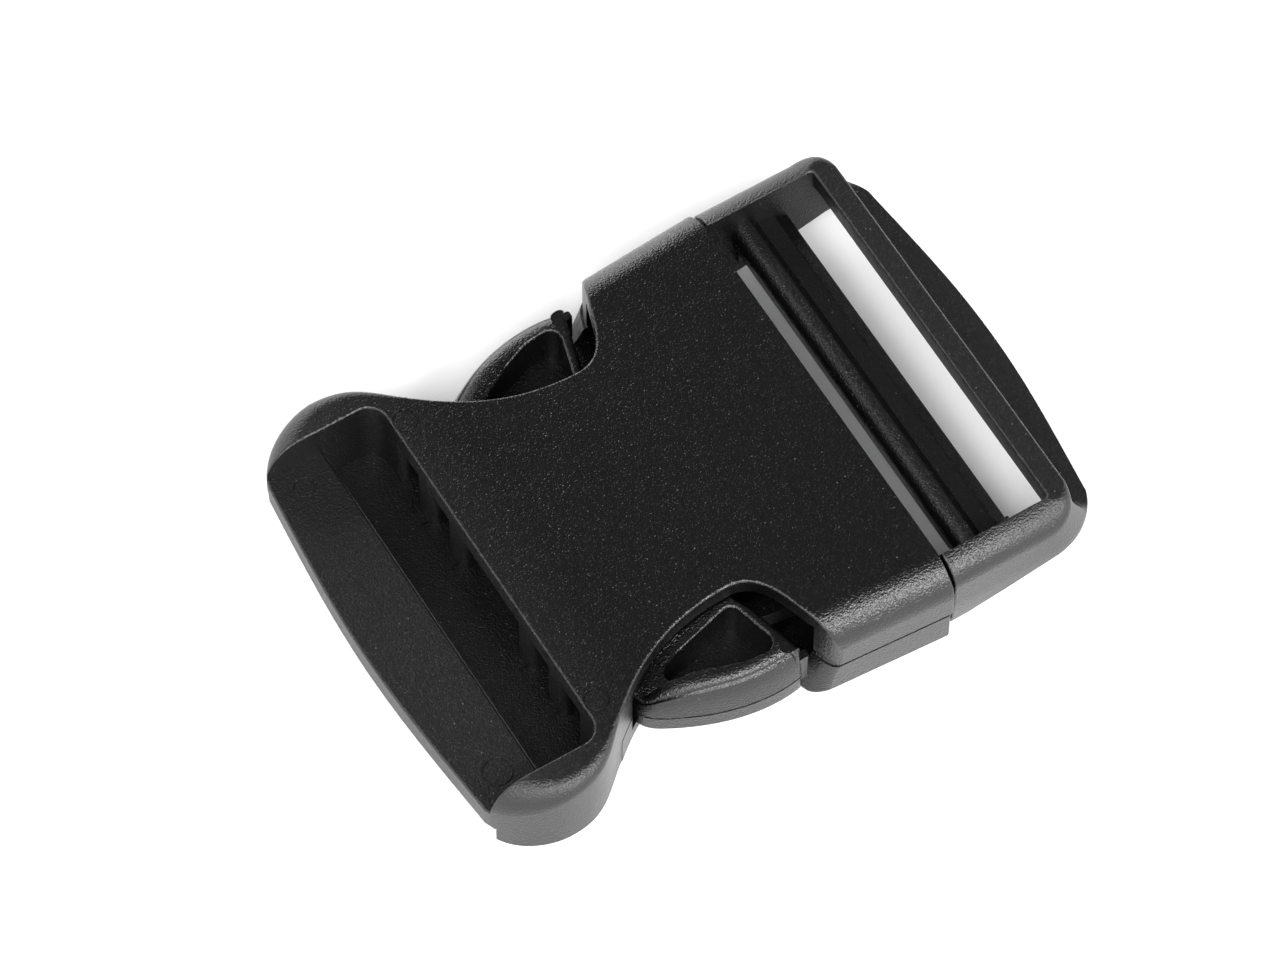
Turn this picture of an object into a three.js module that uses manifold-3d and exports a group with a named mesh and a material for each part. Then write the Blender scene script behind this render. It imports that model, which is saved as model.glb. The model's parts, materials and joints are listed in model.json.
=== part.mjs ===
// Side-release buckle for 50 mm webbing: a socket with a fixed web bar, and a plug with two spring
// latch arms, a guide prong and a ladder-lock frame with a lift tongue.
// Millimetres. +X runs from the web bar to the lift tongue, +Z is up, and the origin is on the
// resting plane under the middle of the buckle. The two halves are drawn latched together.
import * as THREE from "three";
import { mergeVertices } from "three/addons/utils/BufferGeometryUtils.js";
import Module from "manifold-3d";

const wasm = await Module();
wasm.setup();

// ---- driving dimensions ----
const WEB_WIDTH = 51.5; // clear width of both webbing slots
const HEIGHT = 13.4; // over both outer faces of the socket
const PARTING_Z = 5.4; // mould parting line round the sides
const PLATE = 2.4; // thickness of the socket's top plate
const FLOOR_Z = 2.2; // inner face of its lower plate
const GAP = 0.35; // seam between the socket's mouth and the plug frame

const WEB_END_X = -43.4; // middle of the bowed web bar
const WEB_CORNER_X = -41.7; // the bar's ends
const BAR_INNER_X = -33.9;
const SLOT_FRONT_X = -26.4; // rear edge of the socket's top plate
const MOUTH_X = 19.2;
const MOUTH_HALF = 29.9; // half width of the socket at its mouth
const SHOULDER_X = 2.8; // rear end of the mouth block, where the latch heads catch
const SHOULDER_HALF = 28.9;
const WAIST_HALF = 16.9; // narrowest half width of the plates, between the side windows
const CHEEK_HALF = 30.3; // half width of the socket at the web slot
const BAR_TOP_Z = 8.2;
const BAR_BOTTOM_Z = 4.7;
const SIDE_ROUND = 4.5; // rounding of the mouth block's long top edges

const FRAME_HALF = 29.4; // half width of the plug's frame
const OUTER_BAR_X = 34.3; // inner edge of the outer bar
const FRAME_END_X = 37.2; // outer edge of the outer bar's flat top
const TONGUE_X = 43.4; // middle of the bowed lift tongue
const TONGUE_Z = 5.4; // level of the tongue's lip
const TONGUE_HOLLOW = 0.4; // 1 is a quarter round; less is a flatter tongue and a tighter curve
const BASE_X = [13.6, 18.7]; // the plug's base, just inside the mouth

const ARM_ROOT = [13.2, 19.6]; // where a latch arm starts to bend
const HEAD_TOP_Z = 10.4;
const HEAD_BOTTOM_Z = 2.6;
const BEAM_TOP_Z = 6.4;

const HALF_WEB = WEB_WIDTH / 2;

// ---- helpers ----
const vec = (x, y) => new THREE.Vector2(x, y);

// A closed solid from a buffer geometry's merged vertices.
function solidFromGeometry(geometry) {
  const bare = geometry.index ? geometry.toNonIndexed() : geometry.clone();
  bare.deleteAttribute("normal");
  bare.deleteAttribute("uv");
  const merged = mergeVertices(bare, 1e-4);
  return solidFromArrays(merged.attributes.position.array, merged.index.array);
}

function solidFromArrays(vertices, triangles) {
  const mesh = new wasm.Mesh({
    numProp: 3,
    vertProperties: new Float32Array(vertices),
    triVerts: new Uint32Array(triangles),
  });
  return new wasm.Manifold(mesh);
}

// A solid skinned over closed loops of equal length, each counter-clockwise from above,
// stacked from the lowest to the highest.
function loft(loops) {
  const count = loops[0].length;
  const triangles = [];
  for (let level = 0; level + 1 < loops.length; level++) {
    for (let i = 0; i < count; i++) {
      const a = level * count + i;
      const b = level * count + ((i + 1) % count);
      triangles.push(a, b, b + count, a, b + count, a + count);
    }
  }
  const cap = (loop, base, up) => {
    const contour = loop.map(([x, y]) => vec(x, y));
    for (const [a, b, c] of THREE.ShapeUtils.triangulateShape(contour, [])) {
      const turn = THREE.ShapeUtils.area([contour[a], contour[b], contour[c]]) > 0;
      triangles.push(base + a, base + (turn === up ? b : c), base + (turn === up ? c : b));
    }
  };
  cap(loops[0], 0, false);
  cap(loops.at(-1), (loops.length - 1) * count, true);
  return solidFromArrays(loops.flat(2), triangles);
}

// A straight prism over corners [x, y, radius], between two heights; radius may be left out.
function prism(corners, low, high) {
  const outline = roundedOutline(corners);
  const shape = new THREE.Shape(outline);
  const geometry = new THREE.ExtrudeGeometry(shape, { depth: high - low, bevelEnabled: false });
  return solidFromGeometry(geometry.translate(0, 0, low));
}

// A prism whose corners [x, z, radius] are in the vertical plane, running along Y.
function crossPrism(corners, left, right) {
  const shape = new THREE.Shape(roundedOutline(corners));
  const geometry = new THREE.ExtrudeGeometry(shape, { depth: right - left, bevelEnabled: false });
  return solidFromGeometry(geometry.rotateX(Math.PI / 2).translate(0, right, 0));
}

const ARC_STEPS = 5;

// Corner points with each given radius drawn as an arc.
function roundedOutline(corners) {
  const points = [];
  corners.forEach(([x, y, radius = 0], i) => {
    const corner = vec(x, y);
    if (radius === 0) {
      points.push(corner);
      return;
    }
    const before = vec(...corners.at(i - 1).slice(0, 2)).sub(corner).normalize();
    const after = vec(...corners[(i + 1) % corners.length].slice(0, 2)).sub(corner).normalize();
    const half = Math.acos(THREE.MathUtils.clamp(before.dot(after), -1, 1)) / 2;
    const reach = radius / Math.tan(half);
    const inward = before.clone().add(after).normalize();
    const centre = inward.multiplyScalar(radius / Math.sin(half)).add(corner);
    const start = before.multiplyScalar(reach).add(corner).sub(centre).angle();
    const end = after.multiplyScalar(reach).add(corner).sub(centre).angle();
    const sweep = THREE.MathUtils.euclideanModulo(end - start + Math.PI, 2 * Math.PI) - Math.PI;
    for (let step = 0; step <= ARC_STEPS; step++) {
      const angle = start + (sweep * step) / ARC_STEPS;
      points.push(vec(Math.cos(angle), Math.sin(angle)).multiplyScalar(radius).add(centre));
    }
  });
  return points;
}

// Samples a chain of curves. Each link is [curve, steps, values at its start, values at its end],
// and each sample holds its place, its outward normal and the values between them.
function sampleChain(links) {
  const samples = [];
  links.forEach(([curve, steps, from, to]) => {
    for (let step = 0; step < steps; step++) {
      const t = step / steps;
      const place = curve.getPoint(t);
      const tangent = curve.getTangent(t);
      const values = {};
      Object.keys(from).forEach((key) => {
        values[key] = THREE.MathUtils.lerp(from[key], to[key], t);
      });
      samples.push({ place, normal: vec(tangent.y, -tangent.x), ...values });
    }
  });
  return samples;
}

const line = (a, b) => new THREE.LineCurve(vec(...a), vec(...b));
const bezier = (a, b, c, d) => new THREE.CubicBezierCurve(vec(...a), vec(...b), vec(...c), vec(...d));

// The samples of a half outline on the +Y side, followed by their mirror images.
function mirrored(half) {
  const other = half.map((s) => ({
    ...s,
    place: vec(s.place.x, -s.place.y),
    normal: vec(s.normal.x, -s.normal.y),
  }));
  return half.concat(other.reverse());
}

const mirrorY = (solid) => solid.mirror([0, 1, 0]);
const bothSides = (solid) => solid.add(mirrorY(solid));

// ---- socket ----
// Half of the socket's plan outline from the mouth to the web bar, with the rounding of its top
// edge (inset and depth) and the step inwards below the parting line.
function socketHalfOutline() {
  const block = { inset: SIDE_ROUND, depth: SIDE_ROUND, step: 0.15 };
  const crisp = { inset: 0.35, depth: 0.35, step: 0.1 };
  const cheek = { inset: 2.3, depth: 2.3, step: 0.3 };
  const nose = { inset: 4.7, depth: HEIGHT - BAR_TOP_Z, step: 0.8 };
  const shoulderSide = [SHOULDER_X + 2.6, SHOULDER_HALF + 0.1];
  const shoulderBack = [SHOULDER_X - 0.3, SHOULDER_HALF - 2.9];
  const waistCorner = [SHOULDER_X - 1.1, SHOULDER_HALF - 5.4];
  const waist = [-4.1, WAIST_HALF];
  const neck = [-22.8, 24.3];
  const cheekSide = [-33, CHEEK_HALF];
  const webCorner = [WEB_CORNER_X, HALF_WEB - 0.6];
  const shoulderTurn = bezier(
    shoulderSide,
    [SHOULDER_X + 1, SHOULDER_HALF],
    [SHOULDER_X, SHOULDER_HALF - 1],
    shoulderBack,
  );
  const links = [
    [line([MOUTH_X, MOUTH_HALF], shoulderSide), 1, block, block],
    [shoulderTurn, 6, block, crisp],
    [line(shoulderBack, waistCorner), 1, crisp, crisp],
    [bezier(waistCorner, [0.4, 18.9], [-1.2, WAIST_HALF], waist), 8, crisp, crisp],
    [bezier(waist, [-11.4, WAIST_HALF], [-17.4, 19.6], neck), 8, crisp, crisp],
    [bezier(neck, [-25.8, 26.9], [-27.4, CHEEK_HALF - 0.1], cheekSide), 7, crisp, cheek],
    [bezier(cheekSide, [-38, CHEEK_HALF], [-40.9, 28.3], webCorner), 6, cheek, nose],
    [bezier(webCorner, [-42.6, 16], [WEB_END_X, 8], [WEB_END_X, 0]), 5, nose, nose],
  ];
  const half = sampleChain(links);
  half[0].normal.set(0, 1);
  half.push({ place: vec(WEB_END_X, 0), normal: vec(-1, 0), ...nose });
  return half;
}

function socketBlank() {
  const half = socketHalfOutline();
  const outline = half.concat(mirrored(half.slice(0, -1)).slice(half.length - 1));
  const loops = [];
  const addLoop = (shift, z) => {
    loops.push(
      outline.map((s) => [
        s.place.x - s.normal.x * shift(s),
        s.place.y - s.normal.y * shift(s),
        z(s),
      ]),
    );
  };
  const draft = 0.3;
  addLoop((s) => s.step + draft + 0.4, () => 0);
  addLoop((s) => s.step + draft, () => 0.4);
  addLoop((s) => s.step, () => PARTING_Z - 0.05);
  addLoop(() => 0, () => PARTING_Z);
  const rise = 6;
  for (let i = 0; i <= rise; i++) {
    const angle = (i / rise) * (Math.PI / 2);
    addLoop(
      (s) => s.inset * (1 - Math.cos(angle)),
      (s) => HEIGHT - s.depth * (1 - Math.sin(angle)),
    );
  }
  return loft(loops);
}

// The hollow between the plates: it is open at the mouth and at both side windows.
function socketCavity() {
  const rear = SLOT_FRONT_X + 2.2;
  const half = [
    [MOUTH_X + 2, 27.4],
    [MOUTH_X, 27.3],
    [SHOULDER_X - 0.5, 25.6],
    [SHOULDER_X + 0.6, 34],
    [-20.2, 34],
    [-20.2, 20.4],
    [-22, 21.6, 1],
    [rear, 21.6, 0.6],
  ];
  const other = half.map(([x, y, r]) => [x, -y, r]).reverse();
  return prism(half.concat(other), FLOOR_Z, HEIGHT - PLATE);
}

// Rounded posts are left standing between these openings in the wall behind the web slot.
function socketRearOpenings() {
  const reach = [SLOT_FRONT_X - 1, SLOT_FRONT_X + 3];
  const opening = (low, high) =>
    prism(
      [
        [reach[0], low],
        [reach[1], low],
        [reach[1], high],
        [reach[0], high],
      ],
      FLOOR_Z,
      HEIGHT - PLATE - 0.3,
    );
  return opening(-6.2, 6.2).add(bothSides(opening(9.7, 12.9))).add(bothSides(opening(16.7, 20)));
}

function socketWebSlot() {
  const slot = prism(
    [
      [BAR_INNER_X, -HALF_WEB],
      [SLOT_FRONT_X, -HALF_WEB, 2.4],
      [SLOT_FRONT_X, HALF_WEB, 2.4],
      [BAR_INNER_X, HALF_WEB],
    ],
    PLATE,
    HEIGHT + 1,
  );
  const overBar = crossPrism(
    [
      [WEB_END_X - 2, BAR_TOP_Z],
      [BAR_INNER_X - 0.4, BAR_TOP_Z, 0.8],
      [BAR_INNER_X + 0.3, BAR_TOP_Z - 1.8],
      [BAR_INNER_X + 3, BAR_TOP_Z - 1.8],
      [BAR_INNER_X + 3, HEIGHT + 1],
      [WEB_END_X - 2, HEIGHT + 1],
    ],
    -HALF_WEB,
    HALF_WEB,
  );
  // The webbing leaves under the bar, between it and the rounded lip of the lower plate.
  const underBar = crossPrism(
    [
      [WEB_END_X - 2, -1],
      [SLOT_FRONT_X - 6.2, -1],
      [SLOT_FRONT_X - 6.2, PLATE + 0.3, 0.8],
      [SLOT_FRONT_X - 2.4, PLATE],
      [BAR_INNER_X + 0.5, BAR_BOTTOM_Z, 0.6],
      [WEB_END_X - 2, BAR_BOTTOM_Z],
    ],
    -HALF_WEB + 0.4,
    HALF_WEB - 0.4,
  );
  return slot.add(overBar).add(underBar);
}

// Below the parting line the mouth block's rear corner reaches further, towards the latch head.
function blockToe() {
  const corners = [
    [SHOULDER_X + 2, 26.6],
    [SHOULDER_X - 1.5, 26.1],
    [SHOULDER_X - 1.5, 27.4, 0.8],
    [SHOULDER_X - 0.2, SHOULDER_HALF - 0.2, 0.8],
    [SHOULDER_X + 2, SHOULDER_HALF - 0.1],
  ];
  return bothSides(prism(corners, 0, PARTING_Z - 1.4));
}

function makeSocket() {
  return socketBlank()
    .subtract(socketCavity())
    .add(blockToe())
    .subtract(socketRearOpenings())
    .subtract(socketWebSlot());
}

// ---- plug ----
// The frame's outline at its top and, past the outer bar, at the lip of the tongue.
function frameHalfOutline() {
  const side = { inset: 3.2, depth: 3.6 };
  const end = { inset: 0.7, depth: 0.7 };
  const start = [MOUTH_X + GAP, FRAME_HALF];
  const corner = [FRAME_END_X - 4.2, FRAME_HALF];
  const turned = [FRAME_END_X, FRAME_HALF - 4.2];
  const topTurn = bezier(
    turned,
    [FRAME_END_X, FRAME_HALF - 1.5],
    [FRAME_END_X - 1.4, FRAME_HALF],
    corner,
  );
  const top = [
    [line([FRAME_END_X, 0], turned), 6, end, end],
    [topTurn, 6, end, side],
    [line(corner, start), 1, side, side],
  ];
  const lipCorner = [FRAME_END_X - 3.2, FRAME_HALF - 0.3];
  const lipTurned = [TONGUE_X - 2, FRAME_HALF - 5.3];
  const lipTurn = bezier(
    lipTurned,
    [TONGUE_X - 2.9, FRAME_HALF - 2.6],
    [FRAME_END_X + 0.4, FRAME_HALF - 0.3],
    lipCorner,
  );
  const lip = [
    [bezier([TONGUE_X, 0], [TONGUE_X, 9], [TONGUE_X - 1.1, 16], lipTurned), 6, {}, {}],
    [lipTurn, 6, {}, {}],
    [line(lipCorner, [start[0], FRAME_HALF - 0.2]), 1, {}, {}],
  ];
  const topHalf = sampleChain(top);
  const lipHalf = sampleChain(lip);
  topHalf.push({ place: vec(...start), normal: vec(0, 1), ...side });
  lipHalf.push({ place: vec(start[0], FRAME_HALF - 0.2), normal: vec(0, 1) });
  return [topHalf, lipHalf];
}

function frameBlank() {
  const [topHalf, lipHalf] = frameHalfOutline();
  const top = mirrored(topHalf).slice(0, -1);
  const lip = mirrored(lipHalf).slice(0, -1);
  const loops = [];
  // Below the lip the walls draw in a little; above it they sweep up in a hollow curve.
  const lower = [
    [1.5, 0],
    [0.5, 0.4],
    [0, TONGUE_Z - 0.9],
    [0.1, TONGUE_Z],
  ];
  lower.forEach(([shift, z]) => {
    loops.push(lip.map((s) => [s.place.x - Math.max(0, s.normal.x) * shift, s.place.y, z]));
  });
  const sweep = 7;
  for (let i = 1; i <= sweep; i++) {
    const angle = (i / sweep) * (Math.PI / 2);
    const share = Math.sin(angle) ** TONGUE_HOLLOW;
    const climb = 1 - Math.cos(angle) ** TONGUE_HOLLOW;
    loops.push(
      top.map((s, k) => {
        const x = THREE.MathUtils.lerp(lip[k].place.x, s.place.x, share);
        const y = THREE.MathUtils.lerp(lip[k].place.y, s.place.y, share);
        const z = TONGUE_Z + (HEIGHT - s.depth - TONGUE_Z) * climb;
        return [x, y, z];
      }),
    );
  }
  const rise = 5;
  for (let i = 1; i <= rise; i++) {
    const angle = (i / rise) * (Math.PI / 2);
    loops.push(
      top.map((s) => [
        s.place.x - s.normal.x * s.inset * (1 - Math.cos(angle)),
        s.place.y - s.normal.y * s.inset * (1 - Math.cos(angle)),
        HEIGHT - s.depth * (1 - Math.sin(angle)),
      ]),
    );
  }
  return loft(loops);
}

// One opening inside the frame, wider at its top; the outer bar overhangs its far end.
function frameOpening() {
  const ring = (half, far, z) => [
    [BASE_X[1], -half, z],
    [far, -half, z],
    [far, half, z],
    [BASE_X[1], half, z],
  ];
  return loft([
    ring(24.9, OUTER_BAR_X + 4.6, -1),
    ring(25.0, OUTER_BAR_X + 3.9, 2.6),
    ring(25.8, OUTER_BAR_X + 0.1, HEIGHT - 3.1),
    ring(26.1, OUTER_BAR_X, HEIGHT + 1),
  ]);
}

// The bar that the webbing is clamped against: a round nose towards the socket, a shallow
// step behind it, and a thinner sloping edge towards the outer bar.
function crossBar() {
  return crossPrism(
    [
      [24.1, 3.4, 0.8],
      [30.4, 3.4, 0.6],
      [30.4, 7.7, 0.3],
      [28.7, 8.5, 0.4],
      [26.3, 8.9, 0.4],
      [25.3, 10.2, 0.5],
      [22.7, 10.0, 2.0],
      [22.8, 6.8, 0.8],
    ],
    -26.4,
    26.4,
  );
}

// The underside of the frame rises towards its outer end.
function frameUndercut() {
  return crossPrism(
    [
      [MOUTH_X - 1, -1],
      [TONGUE_X + 2, -1],
      [TONGUE_X + 2, 4],
      [FRAME_END_X - 1.2, 3.9, 3],
      [MOUTH_X + 2, 0.6, 3],
      [MOUTH_X - 1, 0.5],
    ],
    -35,
    35,
  );
}

function plugBase() {
  const height = [PLATE + 0.5, HEIGHT - PLATE - 0.4];
  const bar = prism(
    [
      [BASE_X[0], -26.1, 0.8],
      [BASE_X[1], -26.6],
      [BASE_X[1], 26.6],
      [BASE_X[0], 26.1, 0.8],
    ],
    ...height,
  );
  const link = prism(
    [
      [BASE_X[0] + 2, 24.9],
      [MOUTH_X + GAP + 1, 24.9],
      [MOUTH_X + GAP + 1, 26.6],
      [BASE_X[0] + 2, 26.2],
    ],
    ...height,
  );
  return bar.add(bothSides(link));
}

// The prong that guides the plug into the socket, with a rib along each edge.
function guideProng() {
  const blade = prism(
    [
      [BASE_X[0] + 1, -6.6],
      [BASE_X[0] + 1, 6.6],
      [BASE_X[0] - 3, 5.4, 3],
      [-23.2, 4.4, 2],
      [-23.2, -4.4, 2],
      [BASE_X[0] - 3, -5.4, 3],
    ],
    PLATE + 1.4,
    HEIGHT - PLATE - 1.4,
  );
  const recess = prism(
    [
      [BASE_X[0] - 3, -3.6, 1],
      [BASE_X[0] - 3, 3.6, 1],
      [-20.6, 2.8, 1],
      [-20.6, -2.8, 1],
    ],
    HEIGHT - PLATE - 3.4,
    HEIGHT,
  );
  return blade.subtract(recess);
}

function makePlug() {
  return frameBlank()
    .subtract(frameOpening())
    .add(crossBar())
    .subtract(frameUndercut())
    .add(plugBase())
    .add(guideProng())
    .subtract(armPocketInBase());
}

// Each arm starts in a shallow notch in the base, with a gap all round it.
function armPocketInBase() {
  const [rootX, rootY] = ARM_ROOT;
  const notch = prism(
    [
      [rootX - 2, rootY - 2.2],
      [rootX + 2.9, rootY - 2.2],
      [rootX + 2.9, rootY + 2.2],
      [rootX - 2, rootY + 2.2],
    ],
    0,
    HEIGHT,
  );
  return bothSides(notch);
}

// ---- latch arms ----
// Plan outline of one head, from the nose along the curved flank to the shoulder and back.
function headOutline() {
  const nose = [-19.5, 20.7];
  const flankStart = [-17.4, 24.1];
  const shoulder = [-0.9, 27.9];
  const rear = [-0.1, 26.6];
  const links = [
    [bezier(nose, [-19.6, 22.2], [-18.9, 23.2], flankStart), 4, { lean: 0.3 }, { lean: 1 }],
    [bezier(flankStart, [-12.6, 26.9], [-6.6, 28.9], shoulder), 8, { lean: 1 }, { lean: 1.5 }],
    [bezier(shoulder, [-0.4, 27.8], [-0.1, 27.3], rear), 3, { lean: 1.4 }, { lean: 0 }],
    [line(rear, [-2.2, 19]), 1, { lean: 0 }, { lean: 0 }],
    [line([-2.2, 19], [-3.6, 16.2]), 1, { lean: 0 }, { lean: 0 }],
    [bezier([-3.6, 16.2], [-9, 16.4], [-17.4, 17.8], nose), 7, { lean: 0 }, { lean: 0 }],
  ];
  return sampleChain(links);
}

// The flank leans in towards the top of the head, and the nose slopes down.
function headBlank() {
  const outline = headOutline();
  const noseDrop = (x) => THREE.MathUtils.clamp((-11 - x) / 8.5, 0, 1) ** 2 * 3.2;
  const loop = (lean, edge, z, drop) =>
    outline
      .map((s) => [
        s.place.x + s.normal.x * (lean * s.lean + edge),
        s.place.y + s.normal.y * (lean * s.lean + edge),
        z - noseDrop(s.place.x) * drop,
      ])
      .reverse();
  return loft([
    loop(0.5, 0.4, HEAD_BOTTOM_Z, 0),
    loop(0.4, 0, HEAD_BOTTOM_Z + 0.4, 0),
    loop(0, 0, PARTING_Z, 0),
    loop(0.45, 0, 8, 0.5),
    loop(1, 0, HEAD_TOP_Z - 0.5, 1),
    loop(1.15, 0.4, HEAD_TOP_Z, 1),
  ]);
}

// The deep pocket in the head, with one wall at the flank and one at the shoulder.
function headPocket() {
  const corners = [
    [-16.9, 20.7, 0.8],
    [-4, 17.6, 1.2],
    [-1.9, 25.2, 1.4],
    [-6.4, 24.8, 6],
  ];
  return prism(corners, HEAD_BOTTOM_Z + 1.6, HEIGHT);
}

function armBeam() {
  const [rootX, rootY] = ARM_ROOT;
  return prism(
    [
      [rootX + 2.2, rootY - 1.6],
      [rootX + 2.2, rootY + 1.6],
      [rootX - 2, rootY + 1.2, 8],
      [-1.6, 19.1, 1.5],
      [-2.6, 18.5],
      [-4.6, 16.2],
      [rootX - 3, rootY - 1.5, 8],
    ],
    PLATE + 1.2,
    BEAM_TOP_Z,
  );
}

// A small nib on the shoulder, in the gap before the mouth block.
function shoulderNib() {
  const corners = [
    [-1, 25.9],
    [0.9, 26.3],
    [0.9, 27.2, 0.3],
    [-1, 27.3],
  ];
  return prism(corners, 3.4, 8.2);
}

const makeArm = () => headBlank().add(armBeam()).add(shoulderNib()).subtract(headPocket());

// ---- assembly ----
const acetal = { color: 0x1a1a1c, roughness: 0.5, metalness: 0 };

function meshOf(name, solid) {
  const { vertProperties, triVerts } = solid.getMesh();
  const geometry = new THREE.BufferGeometry();
  geometry.setAttribute("position", new THREE.BufferAttribute(vertProperties, 3));
  geometry.setIndex(new THREE.BufferAttribute(triVerts, 1));
  geometry.computeVertexNormals();
  const mesh = new THREE.Mesh(geometry, new THREE.MeshStandardMaterial(acetal));
  mesh.name = name;
  return mesh;
}

const buckle = new THREE.Group();
buckle.name = "side_release_buckle";
buckle.add(meshOf("socket", makeSocket()));
const plug = new THREE.Group();
plug.add(meshOf("plug", makePlug()));
plug.add(meshOf("latch_arm_left", makeArm()));
plug.add(meshOf("latch_arm_right", mirrorY(makeArm())));
buckle.add(plug);

export default buckle;
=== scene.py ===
# %% [markdown]
# # A side-release buckle in black acetal
# The real buckle is two mouldings that click together: a socket with a fixed bar for sewn webbing,
# and a plug whose outer end is a frame that clamps loose webbing. The plug's two latch arms bend.
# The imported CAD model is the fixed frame. Each node is replaced here by a finer mesh at the same
# place and size, so that rounded edges and mould marks are real shapes.

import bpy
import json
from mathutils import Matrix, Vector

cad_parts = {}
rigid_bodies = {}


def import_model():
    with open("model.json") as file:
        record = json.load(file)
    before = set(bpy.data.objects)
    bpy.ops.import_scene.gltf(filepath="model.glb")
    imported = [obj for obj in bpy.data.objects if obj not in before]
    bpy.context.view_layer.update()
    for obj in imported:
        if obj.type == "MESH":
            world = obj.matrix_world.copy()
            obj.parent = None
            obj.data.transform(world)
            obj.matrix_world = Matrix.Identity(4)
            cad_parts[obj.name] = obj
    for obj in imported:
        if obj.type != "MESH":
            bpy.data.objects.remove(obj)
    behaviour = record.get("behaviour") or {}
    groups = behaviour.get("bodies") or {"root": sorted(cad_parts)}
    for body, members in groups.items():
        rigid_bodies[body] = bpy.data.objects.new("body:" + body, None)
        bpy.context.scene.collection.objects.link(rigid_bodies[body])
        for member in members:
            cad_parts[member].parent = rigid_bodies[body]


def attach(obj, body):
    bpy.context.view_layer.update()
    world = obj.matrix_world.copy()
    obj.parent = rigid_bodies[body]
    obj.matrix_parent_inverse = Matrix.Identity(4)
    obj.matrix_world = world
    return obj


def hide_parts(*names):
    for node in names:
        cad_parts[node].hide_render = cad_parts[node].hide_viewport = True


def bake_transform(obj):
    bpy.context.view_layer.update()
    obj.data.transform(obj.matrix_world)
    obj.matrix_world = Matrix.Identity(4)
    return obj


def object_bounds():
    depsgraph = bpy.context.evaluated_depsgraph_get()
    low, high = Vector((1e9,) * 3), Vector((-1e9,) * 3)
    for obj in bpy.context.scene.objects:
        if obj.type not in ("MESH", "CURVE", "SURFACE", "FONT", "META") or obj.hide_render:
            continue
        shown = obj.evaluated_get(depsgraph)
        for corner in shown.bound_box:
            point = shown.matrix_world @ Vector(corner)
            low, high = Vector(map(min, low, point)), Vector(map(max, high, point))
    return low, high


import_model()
cad_low, cad_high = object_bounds()
print("CAD box, mm:", [round(1000 * v, 1) for v in (*cad_low, *cad_high)])

# %% [markdown]
# ## Working units
# Buckles are drawn in millimetres, and Blender's frame is in metres, so every mesh is drawn in
# millimetres and scaled once, when it is made. The heights and ends below are shared by both halves.

# %% Units and shared sizes
import json
import math

import bmesh
import bpy
from mathutils import Vector
from mathutils.bvhtree import BVHTree

MM = 0.001
WEB_WIDTH = 51.5  # clear width for 50 mm webbing
HALF_WEB = WEB_WIDTH / 2
HEIGHT = round(1000 * cad_high.z, 2)
PARTING_Z = 5.4  # where the two halves of the mould met
PLATE = 2.4  # thickness of the socket's top plate
FLOOR_Z = 2.2  # inner face of its lower plate
MOUTH_X = 19.2
SLOT_FRONT_X = -26.4
print("height", HEIGHT, "mm, webbing slot", WEB_WIDTH, "mm")

# %% [markdown]
# ## Curves that carry their own edge rounding
# A moulded edge isn't rounded by the same amount all the way. One way is to bevel edges by weight,
# but bevels clash where a soft edge turns into a crisp one. Here each stretch of an outline carries
# its own rounding, and the mesh is skinned over rings worked out from that, so the rounding fades
# from 4.5 mm to 0.3 mm without a seam.


# %% Outline helpers
def straight(a, b):
    a, b = Vector(a), Vector(b)
    return lambda t: (a.lerp(b, t), b - a)


def bezier(a, b, c, d):
    a, b, c, d = (Vector(p) for p in (a, b, c, d))

    def at(t):
        s = 1 - t
        place = a * s**3 + b * (3 * s * s * t) + c * (3 * s * t * t) + d * t**3
        slope = (b - a) * (3 * s * s) + (c - b) * (6 * s * t) + (d - c) * (3 * t * t)
        return place, slope

    return at


def trace(links):
    """Samples a chain of curves. Each sample is its place, its outward normal and its edge values."""
    samples = []
    for path, steps, first, last in links:
        for step in range(steps):
            t = step / steps
            place, slope = path(t)
            edge = {key: first[key] + (last[key] - first[key]) * t for key in first}
            samples.append((place, Vector((slope.y, -slope.x)).normalized(), edge))
    return samples


def flip(samples):
    """The mirror image on the other side of the buckle, in the order that closes an outline."""
    return [
        (Vector((p.x, -p.y)), Vector((n.x, -n.y)), edge) for p, n, edge in reversed(samples)
    ]


# %% [markdown]
# ## Skinning rings into a closed solid
# A list of rings becomes a tube of four-sided faces, closed by a face at each end. Where an end has
# a straight rounded edge, the last few corners are first bridged across in strips, so the end face
# itself stays flat.


# %% Loft
def loft(name, rings, strips=0):
    """A closed mesh over rings of equal length, given in millimetres from one end to the other."""
    count = len(rings[0])
    shape = bmesh.new()
    corners = [[shape.verts.new(Vector(p) * MM) for p in ring] for ring in rings]
    for low, high in zip(corners, corners[1:]):
        for i in range(count):
            j = (i + 1) % count
            shape.faces.new((low[i], low[j], high[j], high[i]))
    for ring in (corners[0], corners[-1]):
        for k in range(strips):
            shape.faces.new((ring[k], ring[k + 1], ring[-2 - k], ring[-1 - k]))
        shape.faces.new(ring[strips : count - strips])
    bmesh.ops.recalc_face_normals(shape, faces=shape.faces)
    mesh = bpy.data.meshes.new(name)
    shape.to_mesh(mesh)
    shape.free()
    solid = bpy.data.objects.new(name, mesh)
    bpy.context.scene.collection.objects.link(solid)
    return solid


# %% [markdown]
# ## Joining and cutting
# The boolean modifier does both, and its Manifold solver keeps the result closed. The result is
# copied out as plain mesh data, so nothing is left live in the scene.


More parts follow.
